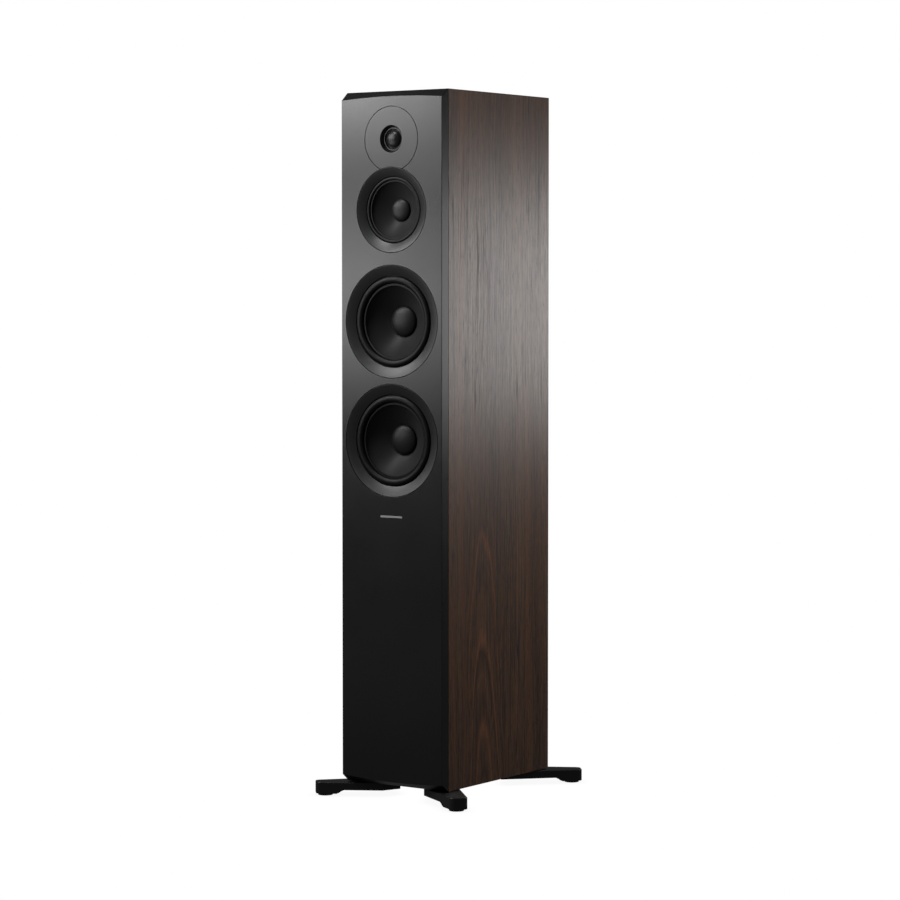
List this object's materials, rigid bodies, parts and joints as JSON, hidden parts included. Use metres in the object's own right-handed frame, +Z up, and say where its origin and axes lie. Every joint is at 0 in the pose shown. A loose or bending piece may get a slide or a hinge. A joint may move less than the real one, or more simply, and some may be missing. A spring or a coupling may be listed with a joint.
{
  "type": "floorstanding loudspeaker",
  "caption": "Tall slim three-way floorstanding loudspeaker with veneered cabinet, black front baffle, round drivers, rear ports and outrigger feet.",
  "frame": {"origin": "on the floor, midway between the four feet", "axes": "+Z up, -Y towards the listener (the front baffle), +X to the right as the listener sees it"},
  "size_m": [0.3044, 0.3806, 1.164],
  "materials": {
    "baffle": "black satin lacquer",
    "walnut": "dark walnut veneer, satin",
    "inner_board": "raw fibreboard",
    "trim_ring": "satin black, finely turned",
    "faceplate": "satin black",
    "cone": "matt black moulded polymer",
    "surround": "matt black",
    "cast_frame": "black paint",
    "steel": "plated",
    "ferrite": "sintered, dark grey",
    "copper": "enamelled winding wire",
    "spider": "resin-dipped weave",
    "silk": "coated soft dome",
    "black_plastic": "moulded",
    "brass": "gold plated",
    "red_cap": "gloss",
    "black_cap": "gloss",
    "circuit_board": "solder mask",
    "foot": "black powder coat",
    "foot_pad": "matt"
  },
  "bodies": {
    "cabinet": {"front_baffle": "baffle", "side_panel_left": "walnut", "side_panel_right": "walnut", "bottom_panel": "walnut", "top_panel": "walnut", "back_panel": "walnut", "midrange_chamber_shelf": "inner_board", "window_brace": "inner_board", "tweeter_faceplate": "faceplate", "tweeter_magnet": "ferrite", "tweeter_rear_chamber": "black_plastic", "port_tube_upper": "black_plastic", "port_tube_lower": "black_plastic", "terminal_plate": "black_plastic", "crossover_board": "circuit_board", "crossover_inductor": "copper", "crossover_capacitor": "black_plastic", "wiring_loom": "black_plastic", "midrange_trim_ring": "trim_ring", "midrange_basket": "cast_frame", "midrange_surround": "surround", "midrange_spider": "spider", "midrange_magnet": "ferrite", "midrange_yoke": "steel", "woofer_upper_trim_ring": "trim_ring", "woofer_upper_basket": "cast_frame", "woofer_upper_surround": "surround", "woofer_upper_spider": "spider", "woofer_upper_magnet": "ferrite", "woofer_upper_yoke": "steel", "woofer_lower_trim_ring": "trim_ring", "woofer_lower_basket": "cast_frame", "woofer_lower_surround": "surround", "woofer_lower_spider": "spider", "woofer_lower_magnet": "ferrite", "woofer_lower_yoke": "steel", "binding_post_positive": "brass", "binding_post_negative": "brass", "foot_arm_front_left": "foot", "foot_arm_front_right": "foot", "foot_arm_rear_left": "foot", "foot_arm_rear_right": "foot"},
    "midrange_moving_parts": {"midrange_cone": "cone", "midrange_dust_cap": "cone", "midrange_voice_coil": "copper"},
    "woofer_upper_moving_parts": {"woofer_upper_cone": "cone", "woofer_upper_dust_cap": "cone", "woofer_upper_voice_coil": "copper"},
    "woofer_lower_moving_parts": {"woofer_lower_cone": "cone", "woofer_lower_dust_cap": "cone", "woofer_lower_voice_coil": "copper"},
    "tweeter_moving_parts": {"tweeter_diaphragm": "silk"},
    "clamp_washer_positive": {"clamp_washer_positive": "brass"},
    "binding_nut_positive": {"binding_nut_positive": "red_cap"},
    "clamp_washer_negative": {"clamp_washer_negative": "brass"},
    "binding_nut_negative": {"binding_nut_negative": "black_cap"},
    "foot_pad_front_left": {"foot_pad_front_left": "foot_pad"},
    "foot_pad_front_right": {"foot_pad_front_right": "foot_pad"},
    "foot_pad_rear_left": {"foot_pad_rear_left": "foot_pad"},
    "foot_pad_rear_right": {"foot_pad_rear_right": "foot_pad"}
  },
  "joints": [
    {"name": "midrange_excursion", "type": "slide", "parent": "cabinet", "child": "midrange_moving_parts", "axis": [0, -1, 0], "range_m": [-0.003, 0.003], "stiffness_N_per_m": 1500, "deforming": ["midrange_surround", "midrange_spider"]},
    {"name": "woofer_upper_excursion", "type": "slide", "parent": "cabinet", "child": "woofer_upper_moving_parts", "axis": [0, -1, 0], "range_m": [-0.006, 0.006], "stiffness_N_per_m": 1200, "deforming": ["woofer_upper_surround", "woofer_upper_spider"]},
    {"name": "woofer_lower_excursion", "type": "slide", "parent": "cabinet", "child": "woofer_lower_moving_parts", "axis": [0, -1, 0], "range_m": [-0.006, 0.006], "stiffness_N_per_m": 1200, "deforming": ["woofer_lower_surround", "woofer_lower_spider"]},
    {"name": "tweeter_excursion", "type": "slide", "parent": "cabinet", "child": "tweeter_moving_parts", "axis": [0, -1, 0], "range_m": [-0.0004, 0.0004], "stiffness_N_per_m": 1500},
    {"name": "clamp_travel_positive", "type": "slide", "parent": "cabinet", "child": "clamp_washer_positive", "axis": [0, 1, 0], "range_m": [0, 0.004]},
    {"name": "nut_turn_positive", "type": "hinge", "parent": "clamp_washer_positive", "child": "binding_nut_positive", "pos_m": [0.019, 0.15, 0.224], "axis": [0, 1, 0], "range_deg": [0, 1440]},
    {"name": "clamp_travel_negative", "type": "slide", "parent": "cabinet", "child": "clamp_washer_negative", "axis": [0, 1, 0], "range_m": [0, 0.004]},
    {"name": "nut_turn_negative", "type": "hinge", "parent": "clamp_washer_negative", "child": "binding_nut_negative", "pos_m": [-0.019, 0.15, 0.224], "axis": [0, 1, 0], "range_deg": [0, 1440]},
    {"name": "foot_adjust_front_left", "type": "slide", "parent": "cabinet", "child": "foot_pad_front_left", "axis": [0, 0, -1], "range_m": [0, 0.01]},
    {"name": "foot_adjust_front_right", "type": "slide", "parent": "cabinet", "child": "foot_pad_front_right", "axis": [0, 0, -1], "range_m": [0, 0.01]},
    {"name": "foot_adjust_rear_left", "type": "slide", "parent": "cabinet", "child": "foot_pad_rear_left", "axis": [0, 0, -1], "range_m": [0, 0.01]},
    {"name": "foot_adjust_rear_right", "type": "slide", "parent": "cabinet", "child": "foot_pad_rear_right", "axis": [0, 0, -1], "range_m": [0, 0.01]}
  ],
  "couplings": [
    {"joint": "nut_turn_positive", "follows": "clamp_travel_positive", "rad_per_m": 6283.2},
    {"joint": "nut_turn_negative", "follows": "clamp_travel_negative", "rad_per_m": 6283.2}
  ]
}
